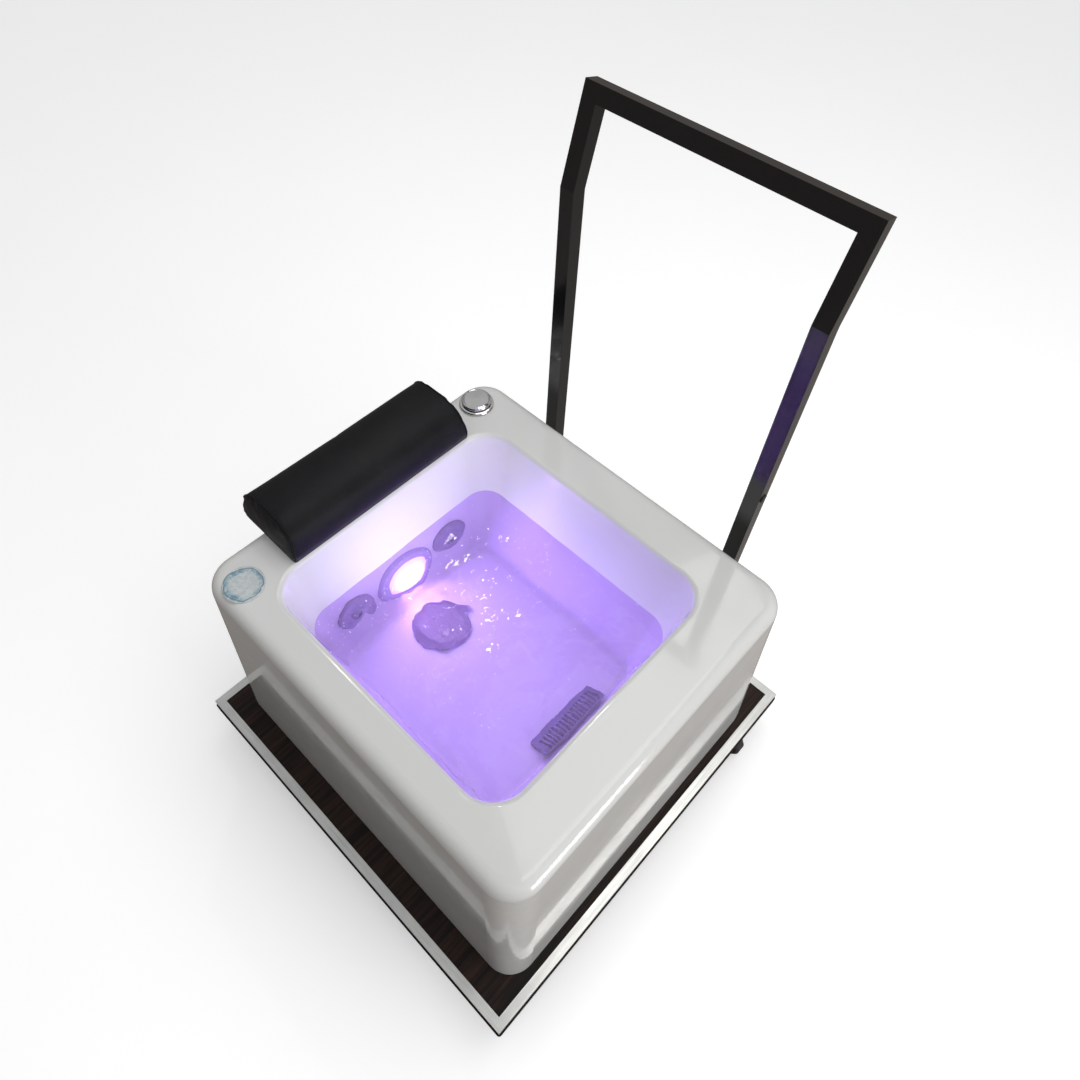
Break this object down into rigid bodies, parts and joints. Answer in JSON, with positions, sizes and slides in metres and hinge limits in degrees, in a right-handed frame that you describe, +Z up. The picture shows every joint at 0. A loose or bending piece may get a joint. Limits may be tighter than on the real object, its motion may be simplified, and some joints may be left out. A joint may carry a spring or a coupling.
{
  "type": "portable pedicure foot spa",
  "caption": "Portable pedicure foot spa: white acrylic jetted tub on a wheeled wood-look board with a push handle and a leg cushion.",
  "frame": {"origin": "on the floor, under the middle of the object's bounding box", "axes": "+Z up; +Y toward the push handle; -X toward the leg cushion, the lamp and the jets"},
  "size_m": [0.63, 0.6362, 0.8797],
  "materials": {
    "wenge_laminate": "matt textured laminate",
    "aluminium_edging": "brushed, anodised",
    "black_powder_coat": "gloss black powder coat",
    "black_steel": "satin black",
    "zinc_steel": "zinc plated",
    "chrome_plate": "polished chrome",
    "black_rubber": "matt rubber",
    "white_acrylic": "gloss sanitary acrylic",
    "medallion_resin": "clear domed resin over a pale blue print",
    "white_pvc": "satin moulded PVC",
    "grey_plastic": "satin grey moulding",
    "black_plastic": "satin moulding",
    "motor_enamel": "black enamel",
    "red_plastic": "moulded",
    "brushed_metal": "brushed stainless",
    "black_vinyl": "soft vinyl upholstery",
    "lamp_glass": "frosted"
  },
  "bodies": {
    "platform": {"air_button_housing": "chrome_plate", "air_button_nut": "black_plastic", "base_board": "wenge_laminate", "caster_plate_1": "black_steel", "caster_plate_2": "black_steel", "caster_plate_3": "black_steel", "caster_plate_4": "black_steel", "caster_screws": "zinc_steel", "control_box": "black_plastic", "deck_medallion": "medallion_resin", "drain_grille": "grey_plastic", "drain_pipe": "white_pvc", "drain_valve_body": "white_pvc", "handle_bolts": "zinc_steel", "handle_hole_plugs": "black_plastic", "handle_top_bar": "black_powder_coat", "handle_upright_left": "black_powder_coat", "handle_upright_right": "black_powder_coat", "jet_body_1": "white_pvc", "jet_body_2": "white_pvc", "jet_face_1": "grey_plastic", "jet_face_2": "grey_plastic", "jet_nuts": "white_pvc", "lamp_bezel": "grey_plastic", "lamp_housing": "white_pvc", "lamp_lens": "lamp_glass", "lamp_nut": "white_pvc", "power_gland": "black_plastic", "pressure_manifold": "white_pvc", "pump_motor": "motor_enamel", "pump_wet_end": "black_plastic", "suction_cover": "brushed_metal", "suction_fitting": "white_pvc", "suction_pipe": "white_pvc", "suction_screws": "zinc_steel", "trim_front": "aluminium_edging", "trim_left": "aluminium_edging", "trim_rear": "aluminium_edging", "trim_right": "aluminium_edging", "tub_brackets": "zinc_steel", "tub_shell": "white_acrylic"},
    "air_button": {"air_button_cap": "chrome_plate"},
    "caster_fork_body_1": {"caster_axle_1": "zinc_steel", "caster_fork_1": "black_steel"},
    "caster_fork_body_2": {"caster_axle_2": "zinc_steel", "caster_fork_2": "black_steel"},
    "caster_fork_body_3": {"caster_axle_3": "zinc_steel", "caster_fork_3": "black_steel"},
    "caster_fork_body_4": {"caster_axle_4": "zinc_steel", "caster_fork_4": "black_steel"},
    "caster_wheel_body_1": {"caster_wheel_1": "black_rubber"},
    "caster_wheel_body_2": {"caster_wheel_2": "black_rubber"},
    "caster_wheel_body_3": {"caster_wheel_3": "black_rubber"},
    "caster_wheel_body_4": {"caster_wheel_4": "black_rubber"},
    "cushion": {"cushion_base": "black_plastic", "cushion_pad": "black_vinyl"},
    "valve_lever": {"drain_valve_lever": "red_plastic"},
    "jet_nozzle_body_1": {"jet_nozzle_1": "grey_plastic"},
    "jet_nozzle_body_2": {"jet_nozzle_2": "grey_plastic"},
    "impeller": {"pump_impeller": "white_pvc"}
  },
  "joints": [
    {"name": "caster_swivel_1", "type": "hinge", "parent": "platform", "child": "caster_fork_body_1", "pos_m": [-0.272, -0.2321, 0.05], "axis": [0, 0, 1], "continuous": true},
    {"name": "caster_roll_1", "type": "hinge", "parent": "caster_fork_body_1", "child": "caster_wheel_body_1", "pos_m": [-0.25, -0.2321, 0.025], "axis": [0, 1, 0], "continuous": true},
    {"name": "caster_swivel_2", "type": "hinge", "parent": "platform", "child": "caster_fork_body_2", "pos_m": [-0.272, 0.2179, 0.05], "axis": [0, 0, 1], "continuous": true},
    {"name": "caster_roll_2", "type": "hinge", "parent": "caster_fork_body_2", "child": "caster_wheel_body_2", "pos_m": [-0.25, 0.2179, 0.025], "axis": [0, 1, 0], "continuous": true},
    {"name": "caster_swivel_3", "type": "hinge", "parent": "platform", "child": "caster_fork_body_3", "pos_m": [0.268, -0.2321, 0.05], "axis": [0, 0, 1], "continuous": true},
    {"name": "caster_roll_3", "type": "hinge", "parent": "caster_fork_body_3", "child": "caster_wheel_body_3", "pos_m": [0.246, -0.2321, 0.025], "axis": [0, 1, 0], "continuous": true},
    {"name": "caster_swivel_4", "type": "hinge", "parent": "platform", "child": "caster_fork_body_4", "pos_m": [0.268, 0.2179, 0.05], "axis": [0, 0, 1], "continuous": true},
    {"name": "caster_roll_4", "type": "hinge", "parent": "caster_fork_body_4", "child": "caster_wheel_body_4", "pos_m": [0.29, 0.2179, 0.025], "axis": [0, 1, 0], "continuous": true},
    {"name": "jet_aim_1", "type": "hinge", "parent": "platform", "child": "jet_nozzle_body_1", "pos_m": [-0.17785, -0.1141, 0.27028], "axis": [0, 1, 0], "range_deg": [-18, 18]},
    {"name": "jet_aim_2", "type": "hinge", "parent": "platform", "child": "jet_nozzle_body_2", "pos_m": [-0.17785, 0.0599, 0.27028], "axis": [0, 1, 0], "range_deg": [-18, 18]},
    {"name": "air_button_press", "type": "slide", "parent": "platform", "child": "air_button", "axis": [0, 0, -1], "range_m": [0, 0.004], "stiffness_N_per_m": 600},
    {"name": "impeller_spin", "type": "hinge", "parent": "platform", "child": "impeller", "pos_m": [-0.112, 0.1879, 0.145], "axis": [1, 0, 0], "continuous": true},
    {"name": "drain_valve_turn", "type": "hinge", "parent": "platform", "child": "valve_lever", "pos_m": [0.11, 0.2759, 0.157], "axis": [0, 0, 1], "range_deg": [-90, 0]},
    {"name": "cushion_lift", "type": "slide", "parent": "platform", "child": "cushion", "axis": [0, 0, 1], "range_m": [0, 0.15]}
  ]
}
